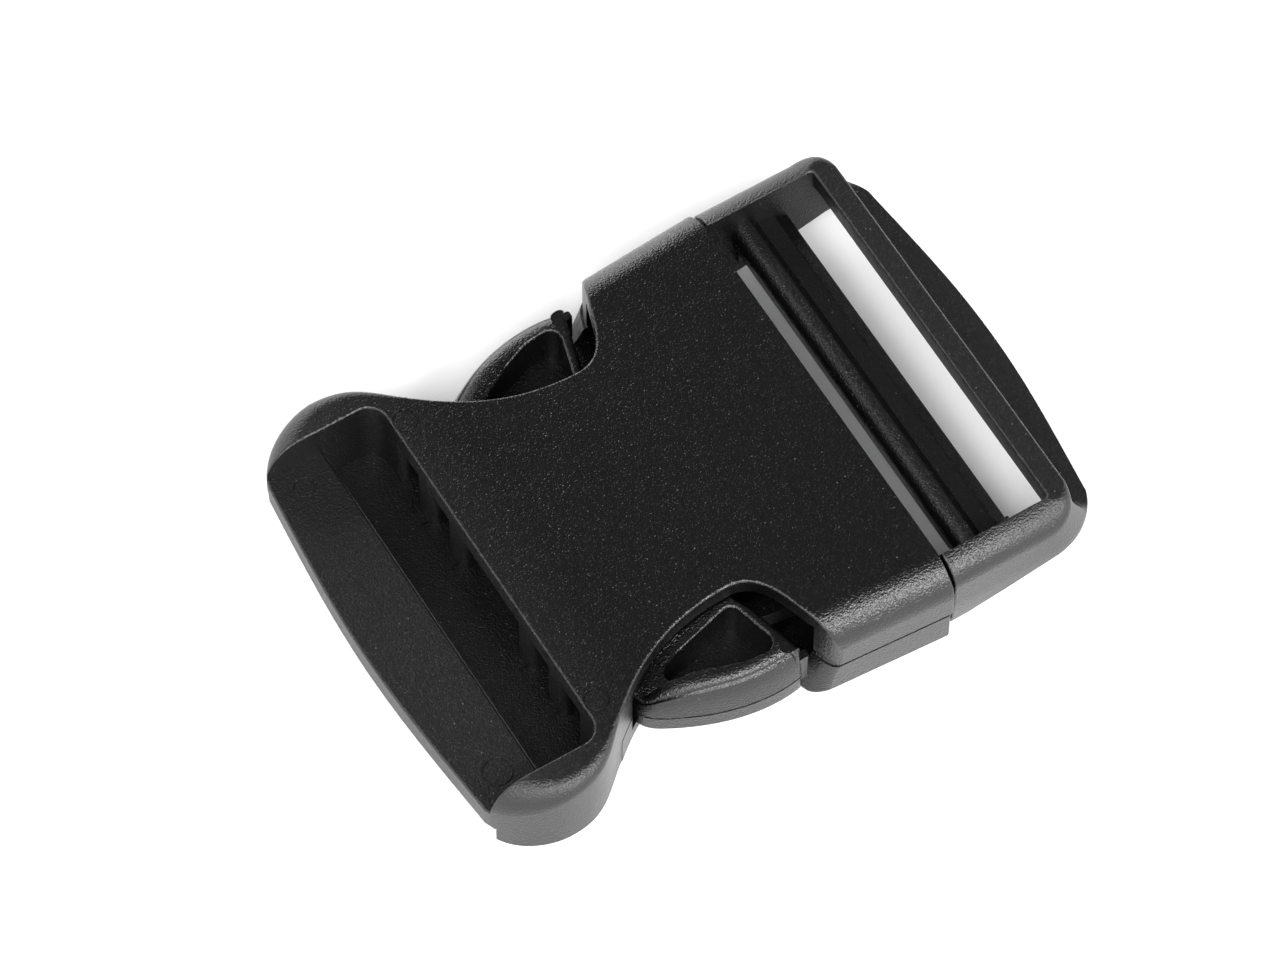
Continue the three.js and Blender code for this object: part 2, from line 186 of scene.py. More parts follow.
# %% Booleans
def combine(solid, tool, operation):
    modifier = solid.modifiers.new("combine", "BOOLEAN")
    modifier.object = tool
    modifier.operation = operation
    modifier.solver = "MANIFOLD"
    graph = bpy.context.evaluated_depsgraph_get()
    made = bpy.data.meshes.new_from_object(solid.evaluated_get(graph))
    solid.modifiers.clear()
    solid.data = made
    bpy.data.objects.remove(tool)


def cut(solid, *tools):
    for tool in tools:
        combine(solid, tool, "DIFFERENCE")


def add(solid, *tools):
    for tool in tools:
        combine(solid, tool, "UNION")


# %% [markdown]
# ## Corners, rims and cutters
# A cutter that is a plain prism leaves a knife edge. A cutter whose top opens out along a small
# quarter round leaves a rounded rim instead, which is what catches the light on a real moulding.

# %% Rounded outlines and flared cutters
ARC = 8  # steps in a quarter round


def rounded(corners):
    """A closed outline from corners (x, y, radius), each radius drawn as an arc."""
    points = []
    for i, (x, y, radius) in enumerate(corners):
        corner = Vector((x, y))
        if radius == 0:
            points.append(corner)
            continue
        back = (Vector(corners[i - 1][:2]) - corner).normalized()
        ahead = (Vector(corners[(i + 1) % len(corners)][:2]) - corner).normalized()
        half = back.angle(ahead) / 2
        middle = corner + (back + ahead).normalized() * (radius / math.sin(half))
        start = corner + back * (radius / math.tan(half)) - middle
        end = corner + ahead * (radius / math.tan(half)) - middle
        turn = math.atan2(start.cross(end), start.dot(end))
        for step in range(ARC + 1):
            angle = turn * step / ARC
            c, s = math.cos(angle), math.sin(angle)
            points.append(middle + Vector((start.x * c - start.y * s, start.x * s + start.y * c)))
    return points


def grown(outline, amount):
    """The outline moved outwards; it runs counter-clockwise."""
    moved = []
    for i, point in enumerate(outline):
        before = (point - outline[i - 1]).normalized()
        after = (outline[(i + 1) % len(outline)] - point).normalized()
        normal = Vector((before.y + after.y, -before.x - after.x)).normalized()
        reach = max(0.3, normal.dot(Vector((after.y, -after.x))))
        moved.append(point + normal * (amount / reach))
    return moved


def prism(name, corners, low, high):
    outline = rounded(corners)
    return loft(name, [[(p.x, p.y, z) for p in outline] for z in (low, high)])


def cross_prism(name, corners, left, right):
    """A prism whose corners (x, z, radius) stand upright, running across the buckle."""
    outline = rounded(corners)
    return loft(name, [[(p.x, y, p.y) for p in outline] for y in (left, right)])


def flared(name, outline, low, surface, rim, foot=()):
    """A cutter that opens out along a quarter round just under a surface, given as height(point).

    The foot lists the outlines below that: each outline, how far it is grown, and its height.
    """
    rings = []
    for shape, out, z in (*foot, (outline, 0, low)):
        rings.append([(p.x, p.y, z) for p in grown(shape, out)])
    for step in range(ARC + 1):
        angle = math.pi / 2 * step / ARC
        spread = grown(outline, rim * (1 - math.cos(angle)))
        rings.append([(p.x, p.y, surface(p) - rim * (1 - math.sin(angle))) for p in spread])
    clear = grown(outline, rim + 0.4)
    rings.append([(p.x, p.y, surface(p) + 1) for p in clear])
    rings.append([(p.x, p.y, HEIGHT + 2) for p in clear])
    return loft(name, rings)


def level(z):
    """A flat surface, as height(point)."""
    return lambda point: z


# %% [markdown]
# ## Socket: the outer body
# The socket's outline runs from the mouth, round the block that the latch heads catch behind, in to
# the waist, and out to the cheeks that hold the web bar. The block has broad round edges, the waist
# is crisp, and the cheeks roll down to the bar. Below the parting line the cheeks step in by 0.75 mm,
# and a fine groove runs all round where the mould halves met.

# %% Socket outline
BAR_TOP_Z = 8.2
WEB_END_X = round(1000 * cad_low.x, 2)
BLOCK = {"inset": 4.5, "depth": 4.5, "step": 0.05}
CRISP = {"inset": 0.35, "depth": 0.35, "step": 0.1}
CHEEK = {"inset": 2.3, "depth": 2.3, "step": 0.75}
NOSE = {"inset": 4.7, "depth": HEIGHT - BAR_TOP_Z, "step": 1}
EDGE = 0.3  # the small round on plain moulded edges
NECK = (-22.8, 24.3)  # where the cut-out for each latch head ends and the cheek begins


def end_corner(x, y, edge):
    """Samples round a square end: the side's profile shrinks along a quarter round."""
    samples = []
    for step in range(ARC // 2):
        angle = math.pi / 2 * step / (ARC // 2)
        shrink = EDGE * (1 - math.sin(angle))
        place = Vector((x - EDGE * (1 - math.cos(angle)), y))
        samples.append((place, Vector((0, 1)), {**edge, "shrink": shrink}))
    return samples


def socket_outline():
    mouth, past_side = (MOUTH_X - EDGE, 30), (-2, 28.6)
    neck, cheek, corner = NECK, (-33, 30.3), (-41.7, 25.15)
    half = end_corner(MOUTH_X, mouth[1], BLOCK)
    half += trace(
        [
            (straight(mouth, past_side), 8, BLOCK, BLOCK),
            (straight(past_side, (-18.5, 24.2)), 6, BLOCK, CRISP),
            (straight((-18.5, 24.2), neck), 3, CRISP, CRISP),
            (bezier(neck, (-25.8, 26.9), (-27.4, 30.2), cheek), 18, CRISP, CHEEK),
            (bezier(cheek, (-36.8, 30.3), (-40.6, 28), corner), 18, CHEEK, NOSE),
            (bezier(corner, (-42.6, 16), (WEB_END_X, 8), (WEB_END_X, 0)), 16, NOSE, NOSE),
        ]
    )
    middle = (Vector((WEB_END_X, 0)), Vector((-1, 0)), NOSE)
    return half + [middle] + flip(half)


socket_edge = socket_outline()
print(len(socket_edge), "points round the socket")

# %% [markdown]
# Each ring is the outline moved in and up by a quarter round. The end corners also shrink along the
# profile's own normal, which rounds the mouth's edge as well.


# %% Socket body
def profile_ring(outline, angle, height):
    """The outline's ring at one angle up the rounding, from 0 at its side to a quarter turn on top."""
    c, s = math.cos(angle), math.sin(angle)
    ring = []
    for place, normal, edge in outline:
        shrink = edge.get("shrink", 0)
        spot = place - normal * (edge["inset"] * (1 - c) + shrink * c)
        ring.append((spot.x, spot.y, height - edge["depth"] * (1 - s) - shrink * s))
    return ring


def side_ring(outline, shift, z, lift=0):
    ring = []
    for place, normal, edge in outline:
        spot = place - normal * (shift(edge) + edge.get("shrink", 0))
        ring.append((spot.x, spot.y, z + lift * edge.get("shrink", 0)))
    return ring


GROOVE = 0.3  # depth of the parting line's groove
GROOVE_WIDE = 0.4
FOOT = 0.35  # rounding of the bottom edge


def socket_body():
    rings = []
    for step in range(ARC // 2 + 1):
        angle = math.pi / 2 * step / (ARC // 2)
        tuck = FOOT * (1 - math.sin(angle))
        z = FOOT * (1 - math.cos(angle))
        lift = 1 - step / (ARC // 2)
        rings.append(side_ring(socket_edge, lambda e: e["step"] + tuck, z, lift))
    for below, inward in ((GROOVE_WIDE, 0), (GROOVE_WIDE - 0.04, GROOVE), (0.06, GROOVE)):
        rings.append(side_ring(socket_edge, lambda e: e["step"] + inward, PARTING_Z - below))
    rings.append(side_ring(socket_edge, lambda e: 0.04, PARTING_Z))
    rings.append(side_ring(socket_edge, lambda e: 0, PARTING_Z + 0.05))
    turns = 18
    for step in range(turns + 1):
        rings.append(profile_ring(socket_edge, math.pi / 2 * step / turns, HEIGHT))
    return loft("socket_shell", rings, strips=ARC // 2)


socket = socket_body()
print("socket body:", len(socket.data.vertices), "corners")

# %% [markdown]
# The real block keeps its broad round right up to the cut-out for the latch head, and meets it at
# a crisp edge. So the cut-out is cut from the finished body. The cutter follows the top surface,
# found by looking straight down on it, and carries the parting line on round the corner.


# %% Cut-outs for the latch heads
def surface_of(solid, fallback, least=0):
    """Height of a solid's top above a point, in millimetres."""
    mesh = solid.data
    tree = BVHTree.FromPolygons([v.co for v in mesh.vertices], [p.vertices for p in mesh.polygons])

    def height(point):
        hit = tree.ray_cast(Vector((point.x * MM, point.y * MM, 1)), Vector((0, 0, -1)))[0]
        return max(hit.z / MM, least) if hit else fallback

    return height


def latch_cut(side, back, inner, neck):
    """The cut-out's outline: round the block's corner, in to the waist, and out to the neck."""
    x, y = side
    waist = (-4.1, 16.9)
    samples = trace(
        [
            (bezier(side, (x - 1, y - 0.07), (back[0] + 0.4, back[1] + 0.9), back), 12, {}, {}),
            (straight(back, inner), 3, {}, {}),
            (bezier(inner, (inner[0] - 1.3, 18.9), (-1.2, 16.9), waist), 20, {}, {}),
            (bezier(waist, (-11.4, 16.9), (neck[0] + 5.4, neck[1] - 4.7), neck), 22, {}, {}),
        ]
    )
    curve = [place for place, normal, edge in samples] + [Vector(neck)]
    outside = ((6.6, 29.7), (8, 31), (8, 34), (-23, 34), (-23, 25.2))
    return curve[::-1] + [Vector(p) for p in outside]


upper_cut = latch_cut((4.6, 29.05), (3, 27.2), (1.7, 23.5), NECK)
lower_cut = latch_cut((3.4, 28.97), (0.5, 27.5), (-0.4, 24.5), NECK)
blend_cut = [a.lerp(b, 0.15) for a, b in zip(upper_cut, lower_cut)]
groove_low, groove_high = PARTING_Z - GROOVE_WIDE, PARTING_Z - 0.06
foot = [
    (lower_cut, FOOT + 1, -1),
    (lower_cut, FOOT, 0),
    (lower_cut, 0, FOOT),
    (blend_cut, 0, groove_low),
    (blend_cut, GROOVE, groove_low + 0.04),
    (upper_cut, GROOVE, groove_high),
    (upper_cut, 0, PARTING_Z),
]
block_top = surface_of(socket, HEIGHT, HEIGHT - 4.1)


def other_side(outline):
    return [Vector((p.x, -p.y)) for p in reversed(outline)]


other_foot = [(other_side(outline), out, z) for outline, out, z in foot]
for outline, below in ((upper_cut, foot), (other_side(upper_cut), other_foot)):
    cut(socket, flared("latch_cut", outline, PARTING_Z + 0.05, block_top, CRISP["inset"], below))
for side in (-1, 1):
    corners = [(18.2, 30.4), (MOUTH_X + 0.4, 30.4), (MOUTH_X + 0.4, 28.8)]
    cut(socket, prism("corner", [(x, side * y, 0) for x, y in corners], -1, PARTING_Z - 0.3))
print("two cut-outs for the latch heads")

# %% [markdown]
# ## Socket: the hollow between its plates
# The plug slides into a flat hollow that is open at the mouth and at both side windows. Behind it, a
# wall of rounded posts keeps the webbing out of the latch.

# %% Socket hollow
cavity_half = [
    (MOUTH_X + 2, 27.4, 0),
    (MOUTH_X, 27.3, 0),
    (2.3, 25.6, 0),
    (0.3, 26.1, 0),
    (-0.4, 34, 0),
    (-20.2, 34, 0),
    (-20.2, 20.4, 0),
    (-22, 21.6, 1),
    (SLOT_FRONT_X + 2.2, 21.6, 0.6),
]
cavity = cavity_half + [(x, -y, r) for x, y, r in reversed(cavity_half)]
cut(socket, prism("cavity", cavity, FLOOR_Z, HEIGHT - PLATE))

POST_ROUND = 1.1


def post_gap(low, high):
    """An opening between two posts, wider at the front so that the posts' front corners are round."""
    front = SLOT_FRONT_X
    outline = [(front + 3, low), (front + POST_ROUND, low)]
    for side, y in ((-1, low), (1, high)):
        arc = []
        for step in range(ARC + 1):
            angle = math.pi / 2 * step / ARC
            across = y + side * POST_ROUND * (1 - math.cos(angle))
            arc.append((front + POST_ROUND * (1 - math.sin(angle)), across))
        if side < 0:
            outline += arc[1:] + [(front - 1, low - POST_ROUND)]
        else:
            outline += [(front - 1, high + POST_ROUND)] + arc[::-1]
    outline.append((front + 3, high))
    rings = [[(x, y, z) for x, y in outline] for z in (FLOOR_Z, HEIGHT - PLATE - 0.5)]
    return loft("gap", rings)


gaps = [(-6.2, 6.2), (9.7, 12.9), (16.7, 20), (-12.9, -9.7), (-20, -16.7)]
cut(socket, *(post_gap(*gap) for gap in gaps))
print("socket hollow cut, with", len(gaps), "gaps between posts")

# %% [markdown]
# ## Socket: the webbing well and its bar
# The well is open at the bar's end. Its cutter follows the cheeks' falling tops, found by looking
# straight down on the body, so its rim stays rounded all the way down the slope.

# %% Webbing well
BAR_INNER_X = -33.9
BAR_BOTTOM_Z = 4.7
WELL_RIM = 0.32


slot_corners = [
    (SLOT_FRONT_X, -HALF_WEB, 2.4),
    (SLOT_FRONT_X, HALF_WEB, 2.4),
    (BAR_INNER_X, HALF_WEB, 0),
    (BAR_INNER_X, -HALF_WEB, 0),
]
front = rounded(slot_corners)[: 2 * (ARC + 1)]
side_steps = [Vector((-30 - 0.4 * i, HALF_WEB)) for i in range(40)]
well_outline = front + side_steps + [Vector((p.x, -p.y)) for p in reversed(side_steps)]
top_of_socket = surface_of(socket, HEIGHT)
cut(socket, flared("well", well_outline, PARTING_Z - 0.3, top_of_socket, WELL_RIM))
cut(socket, prism("slot", slot_corners, PLATE, HEIGHT - 2))
under_bar = [
    (WEB_END_X - 2, -1, 0),
    (SLOT_FRONT_X - 6.2, -1, 0),
    (SLOT_FRONT_X - 6.2, PLATE + 0.3, 0.8),
    (SLOT_FRONT_X - 2.4, PLATE, 0),
    (BAR_INNER_X + 0.5, BAR_BOTTOM_Z, 0.6),
    (WEB_END_X - 2, BAR_BOTTOM_Z, 0),
]
cut(socket, cross_prism("under_bar", under_bar, 0.4 - HALF_WEB, HALF_WEB - 0.4))


# %% [markdown]
# The bar is added back as a lens-shaped beam: its outer edge follows the socket's bowed end, its inner
# edge is straight, and all its edges have only a small round.


# %% Web bar
def end_x(y):
    """Where the socket's end lies at a distance across it."""
    half = [p for p, n, e in socket_edge if p.x < -35 and p.y >= 0]
    half.sort(key=lambda p: p.y)
    for a, b in zip(half, half[1:]):
        if a.y <= abs(y) <= b.y:
            return a.x + (b.x - a.x) * (abs(y) - a.y) / (b.y - a.y)
    return half[-1].x


bar_reach = HALF_WEB + 0.4
rings = []
for step in range(41):
    y = bar_reach * (step / 20 - 1)
    outer = end_x(y)
    section = rounded(
        [
            (outer, BAR_BOTTOM_Z, 0.25),
            (BAR_INNER_X, BAR_BOTTOM_Z, 0.5),
            (BAR_INNER_X, BAR_TOP_Z, 0.3),
            (outer, BAR_TOP_Z, 0.35),
        ]
    )
    rings.append([(p.x, y, p.y) for p in section])
add(socket, loft("web_bar", rings))
print("web bar added,", round(BAR_INNER_X - WEB_END_X, 1), "mm wide in the middle")

# %% [markdown]
# ## Ejector marks
# Pins push a moulding out of its mould, and each leaves a faint ring. A thin ring-shaped groove is
# cut for each.


# %% Ejector marks
def ring_groove(x, y, z, radius, width=0.12):
    rings = []
    for step in range(40):
        turn = 2 * math.pi * step / 40
        section = []
        for k in range(6):
            angle = 2 * math.pi * k / 6
            reach = radius + width * math.cos(angle)
            section.append(
                (x + reach * math.cos(turn), y + reach * math.sin(turn), z + width * math.sin(angle))
            )
        rings.append(section)
    shape = bmesh.new()
    corners = [[shape.verts.new(Vector(p) * MM) for p in ring] for ring in rings]
    for i in range(len(rings)):
        low, high = corners[i - 1], corners[i]
        for k in range(6):
            shape.faces.new((low[k], low[k - 1], high[k - 1], high[k]))
    bmesh.ops.recalc_face_normals(shape, faces=shape.faces)
    mesh = bpy.data.meshes.new("ring")
    shape.to_mesh(mesh)
    shape.free()
    tool = bpy.data.objects.new("ring", mesh)
    bpy.context.scene.collection.objects.link(tool)
    return tool


marks = [
    (-24.7, 21.7, HEIGHT, 1.45),
    (-24.7, -21.7, HEIGHT, 1.45),
    (-38.1, 22.6, BAR_TOP_Z, 1.3),
    (-37.9, -21.5, BAR_TOP_Z, 1.8),
]
cut(socket, *(ring_groove(*mark) for mark in marks))
print(len(marks), "ejector marks")

# %% [markdown]
# ## Plug: the frame
# The frame's sides roll over at the top, its outer bar has a thin rounded rim, and a hollow curve
# sweeps out from under the bar to the lift tongue's lip. Two outlines are blended: one for the top
# and one for the lip.

# %% Plug frame
SEAM_X = MOUTH_X + 0.35
FRAME_HALF = 29.4
FRAME_END_X = 37.2
OUTER_BAR_X = 34.3
TONGUE_X = round(1000 * cad_high.x, 2)
TONGUE_Z = 5.4
SIDE = {"inset": 4.4, "depth": 3.6}
END = {"inset": 0.45, "depth": 0.45}
SHELF = 0.4  # below 1, the tongue lies flatter and meets the outer bar in a tighter curve
FLAT = {"plain": 0}
STEEP = {"plain": 3}  # 1 or more: the side rises straight from the lip


def frame_outlines():
    corner, turned = (FRAME_END_X - 4.2, FRAME_HALF), (FRAME_END_X, FRAME_HALF - 4.2)
    top = trace(
        [
            (straight((FRAME_END_X, 0), turned), 16, END, END),
            (bezier(turned, (FRAME_END_X, 28), (FRAME_END_X - 1.4, FRAME_HALF), corner), 16, END, SIDE),
            (straight(corner, (SEAM_X + EDGE, FRAME_HALF)), 8, SIDE, SIDE),
        ]
    )
    lip_corner = (FRAME_END_X - 3.2, FRAME_HALF - 0.2)
    lip_turned = (TONGUE_X - 2, FRAME_HALF - 5.3)
    lip = trace(
        [
            (bezier((TONGUE_X, 0), (TONGUE_X, 9), (TONGUE_X - 1.1, 16), lip_turned), 16, FLAT, FLAT),
            (bezier(lip_turned, (40.5, 26.8), (37.6, FRAME_HALF - 0.2), lip_corner), 16, FLAT, STEEP),
            (straight(lip_corner, (SEAM_X + EDGE, FRAME_HALF - 0.1)), 8, STEEP, STEEP),
        ]
    )
    corner_steps = ARC // 2
    for step in range(corner_steps + 1):
        angle = math.pi / 2 * step / corner_steps
        x = SEAM_X + EDGE * (1 - math.sin(angle))
        shrink = EDGE * (1 - math.cos(angle))
        outwards = Vector((0, 1))
        top.append((Vector((x, FRAME_HALF)), outwards, {**SIDE, "shrink": shrink}))
        lip.append((Vector((x, FRAME_HALF - 0.1 - shrink)), outwards, {**STEEP, "shrink": shrink}))
    return top, lip


def frame_body():
    top, lip = frame_outlines()
    top += flip(top)[:-1]
    lip += flip(lip)[:-1]
    rings = []
    walls = [(1.5, 1.2, 0), (0.9, 0.75, 0.4), (0.6, 0.5, 0.9), (0.3, 0.32, 2)]
    walls += [(0.1, 0.1, 4), (0, 0.05, 4.6), (0.02, 0.02, 5.1), (0.12, 0, TONGUE_Z)]
    for tuck, lean, z in walls:
        ring = []
        for place, normal, edge in lip:
            ring.append((place.x - max(0, normal.x) * tuck, place.y - normal.y * lean, z))
        rings.append(ring)
    sweep = 16
    low_ring = rings[-1]
    for step in range(1, sweep + 1):
        t = step / sweep
        hollow = math.sin(math.pi / 2 * t) ** SHELF
        climb = 1 - math.cos(math.pi / 2 * t) ** SHELF
        ring = []
        for (place, normal, edge), (_, _, form), low in zip(top, lip, low_ring):
            plain = min(1, form["plain"])
            share = hollow + (t - hollow) * plain
            rise = (HEIGHT - edge["depth"] - TONGUE_Z) * (climb + (t - climb) * plain)
            spot = Vector(low[:2]).lerp(place - normal * edge.get("shrink", 0), share)
            ring.append((spot.x, spot.y, TONGUE_Z + rise))
        rings.append(ring)
    turns = 14
    for step in range(1, turns + 1):
        rings.append(profile_ring(top, math.pi / 2 * step / turns, HEIGHT))
    return loft("plug_frame", rings)


plug = frame_body()
print("plug frame:", len(plug.data.vertices), "corners")


# %% [markdown]
# The frame's opening narrows towards the bottom, and the outer bar overhangs its far end. Its rim is
# opened out by a small quarter round.


# %% Plug opening
def opening_ring(half, far, z):
    corners = [(SEAM_X - 1.5, -half, 0), (far, -half, 0.5), (far, half, 0.5), (SEAM_X - 1.5, half, 0)]
    return [(p.x, p.y, z) for p in rounded(corners)]


OPENING_HALF = 26.05  # half the opening's width at the top
rim = 0.35
rings = [
    opening_ring(24.9, OUTER_BAR_X + 4.6, -1),
    opening_ring(25.0, OUTER_BAR_X + 3.9, 2.6),
    opening_ring(25.8, OUTER_BAR_X + 0.1, HEIGHT - 3.1),
    opening_ring(OPENING_HALF, OUTER_BAR_X, HEIGHT - rim),
]
for step in range(1, ARC + 1):
    angle = math.pi / 2 * step / ARC
    grow = rim * (1 - math.cos(angle))
    z = HEIGHT - rim * (1 - math.sin(angle))
    rings.append(opening_ring(OPENING_HALF + grow, OUTER_BAR_X + grow, z))
rings.append(opening_ring(OPENING_HALF + rim + 0.2, OUTER_BAR_X + rim + 0.2, HEIGHT + 1))
cut(plug, loft("opening", rings))

# %% [markdown]
# The webbing is clamped against the cross bar: a round nose, a shallow step behind it, and a thinner
# edge that slopes away. The frame's underside rises towards the tongue, so a thumb can get under it.

# %% Cross bar, underside and base
bar_section = [
    (24.1, 3.4, 0.8),
    (30.6, 3.4, 0.6),
    (30.6, 7.1, 0.3),
    (28.7, 8.5, 0.4),
    (26.3, 8.9, 0.4),
    (25.3, 10.2, 0.5),
    (22.7, 10.0, 2.0),
    (22.8, 6.8, 0.8),
]
add(plug, cross_prism("cross_bar", bar_section, -26.6, 26.6))
for side in (-1, 1):
    ledge = [(26.6, 3.6), (24.6, 3.6), (24.6, 8), (25.3, 8.8), (26.6, 9.4)]
    rings = [[(x, side * y, z) for y, z in ledge] for x in (23.2, 25.2)]
    add(plug, loft("ledge", rings))
gate_mark = [(30, -22.9, 0), (31.7, -22.8, 0.2), (31.7, -22.1, 0.2), (30, -22, 0)]
add(plug, prism("gate_mark", gate_mark, 3.8, 5))
undercut = [
    (MOUTH_X - 1, -1, 0),
    (TONGUE_X + 2, -1, 0),
    (TONGUE_X + 2, 4, 0),
    (36, 4, 3),
    (MOUTH_X + 2, 0.7, 3),
    (MOUTH_X - 1, 0.5, 0),
]
cut(plug, cross_prism("undercut", undercut, -35, 35))
BASE_X = (13.6, 18.7)
base_z = (PLATE + 0.5, HEIGHT - PLATE - 0.4)
base = [(BASE_X[0], -26.1, 0.8), (BASE_X[1], -26.6, 0), (BASE_X[1], 26.6, 0), (BASE_X[0], 26.1, 0.8)]
add(plug, prism("base", base, *base_z))
for side in (-1, 1):
    link = [(BASE_X[0] + 2, 24.9), (SEAM_X + 1, 24.9), (SEAM_X + 1, 26.6), (BASE_X[0] + 2, 26.2)]
    corners = [(x, side * y, 0) for x, y in link][::side]
    add(plug, prism("link", corners, *base_z))
print("plug frame cut and barred")

# %% [markdown]
# ## Plug: the guide prong
# A flat prong runs down the middle of the socket and keeps the plug straight as it goes in. A long
# recess in its top leaves a rib along each edge.

# %% Guide prong
PRONG_TIP_X = -23.2
blade_half = [(BASE_X[0] + 1, 6.6, 0), (BASE_X[0] - 3, 5.4, 3), (PRONG_TIP_X, 4.4, 2)]
blade = [(x, -y, r) for x, y, r in reversed(blade_half)] + blade_half
add(plug, prism("blade", blade, PLATE + 1.4, HEIGHT - PLATE - 1.4))
recess_end = BASE_X[0] - 3
recess = rounded([(-20.6, -2.8, 1), (recess_end, -3.6, 1), (recess_end, 3.6, 1), (-20.6, 2.8, 1)])
cut(plug, flared("recess", recess, HEIGHT - PLATE - 3.4, level(HEIGHT - PLATE - 1.4), 0.3))

# %% [markdown]
# ## Latch arms
# Each arm is a thin beam with a hollow head. Pressing the head's flank bends the beam and brings the
# shoulder clear of the mouth block. The head is skinned over rings that lean in towards its top, and
# its nose slopes down. Beam and head are one piece, as in the moulding.

# %% Head outline and body
HEAD_TOP_Z = 10.4
HEAD_BOTTOM_Z = 2.6
BEAM_TOP_Z = 6.4
ARM_ROOT = (13.2, 19.6)
HEAD_ROUND = 0.75
POCKET_RIM = 0.45


def head_outline():
    nose, flank, shoulder, rear = (-19.5, 20.7), (-17.4, 24.1), (-0.9, 27.9), (-0.1, 26.6)
    none = {"lean": 0}
    return trace(
        [
            (bezier(nose, (-19.6, 22.2), (-18.9, 23.2), flank), 10, {"lean": 0.3}, {"lean": 1}),
            (bezier(flank, (-12.6, 26.9), (-6.6, 28.9), shoulder), 24, {"lean": 1}, {"lean": 1.5}),
            (bezier(shoulder, (-0.4, 27.8), (-0.1, 27.3), rear), 8, {"lean": 1.4}, none),
            (straight(rear, (-2.2, 19)), 5, none, none),
            (straight((-2.2, 19), (-3.6, 16.2)), 2, none, none),
            (bezier((-3.6, 16.2), (-9, 16.4), (-17.4, 17.8), nose), 18, none, none),
        ]
    )


def nose_drop(x):
    """How far the head's top has fallen at x, from nothing at -11 mm to 3.2 mm at the nose."""
    return max(0, min(1, (-11 - x) / 8.5)) ** 2 * 3.2


def head_top(point):
    return HEAD_TOP_Z - nose_drop(point.x)


def head_body():
    outline = head_outline()

    def ring(lean, edge, z, drop):
        made = []
        for place, normal, values in outline:
            spot = place + normal * (lean * values["lean"] + edge)
            made.append((spot.x, spot.y, z - nose_drop(place.x) * drop))
        return made

    # The head's outline runs clockwise, so its normals point inwards: edge moves a ring in.
    rings = []
    for step in range(5):
        angle = math.pi / 2 * step / 4
        tuck, rise = 0.4 * (1 - math.sin(angle)), 0.4 * (1 - math.cos(angle))
        rings.append(ring(-0.06, tuck, HEAD_BOTTOM_Z + rise, 0))
    rings.append(ring(0, 0, PARTING_Z - 0.32, 0))
    rings.append(ring(0, GROOVE / 2, PARTING_Z - 0.28, 0))
    rings.append(ring(0, GROOVE / 2, PARTING_Z - 0.03, 0))
    rings.append(ring(0, 0, PARTING_Z + 0.03, 0))
    for lean, z, drop in ((0.15, 6.7, 0.25), (0.32, 7.8, 0.45), (0.52, 8.7, 0.7), (0.8, 9.4, 0.85)):
        rings.append(ring(lean, 0, z, drop))
    for step in range(7):
        angle = math.pi / 2 * step / 6
        tuck = HEAD_ROUND * (1 - math.cos(angle))
        rings.append(ring(1.1 + tuck, tuck, HEAD_TOP_Z - HEAD_ROUND * (1 - math.sin(angle)), 1))
    return loft("latch_arm", rings)


# %% [markdown]
# The pocket is cut with a flared rim that follows the head's falling nose.


# %% Pocket, beam and nib
def make_arm(name):
    arm = head_body()
    arm.name = name
    root_x, root_y = ARM_ROOT
    beam = [
        (root_x + 2.2, root_y + 1.6, 0),
        (root_x - 2, root_y + 1.2, 8),
        (-1.6, 19.1, 1.5),
        (-2.6, 18.5, 0),
        (-4.6, 16.2, 0),
        (root_x - 3, root_y - 1.5, 8),
        (root_x + 2.2, root_y - 1.6, 0),
    ]
    nib = [(-1, 25.9, 0), (0.9, 26.3, 0), (0.9, 27.2, 0.3), (-1, 27.3, 0)]
    add(arm, prism("beam", beam, PLATE + 1.2, BEAM_TOP_Z))
    add(arm, prism("nib", nib, 3.4, 8.2))
    pocket = [(-16.9, 20.7, 0.8), (-4, 17.6, 1.2), (-1.9, 25.2, 1.4), (-6.4, 24.8, 6)]
    cut(arm, flared("pocket", rounded(pocket), HEAD_BOTTOM_Z + 1.6, head_top, POCKET_RIM))
    return arm


arm_left = make_arm("latch_arm_left_beam")
arm_right = make_arm("latch_arm_right_beam")
shape = bmesh.new()
shape.from_mesh(arm_right.data)
for corner in shape.verts:
    corner.co.y = -corner.co.y
bmesh.ops.reverse_faces(shape, faces=shape.faces)
shape.to_mesh(arm_right.data)
shape.free()
print("two latch arms,", len(arm_left.data.vertices), "corners each")

# %% [markdown]
# ## Smooth shading
# Faces that meet at a shallow angle are shaded as one surface, and real corners stay sharp.

# %% Shading
pieces = {"socket": socket, "plug": plug, "latch_arm_left": arm_left, "latch_arm_right": arm_right}
for piece in pieces.values():
    piece.data.polygons.foreach_set("use_smooth", [True] * len(piece.data.polygons))
    piece.data.set_sharp_from_angle(angle=math.radians(28))
    weighted = piece.modifiers.new("weighted", "WEIGHTED_NORMAL")
    weighted.keep_sharp = True

# %% [markdown]
# ## Black acetal
# Acetal is a hard, slightly waxy plastic. This one is nearly black, with a fine spark-eroded grain
# from the mould and a broader orange-peel that only shows in highlights. A few specks of dust lie on
# it. Everything is driven by the piece's own coordinates, so nothing slides when the view changes.


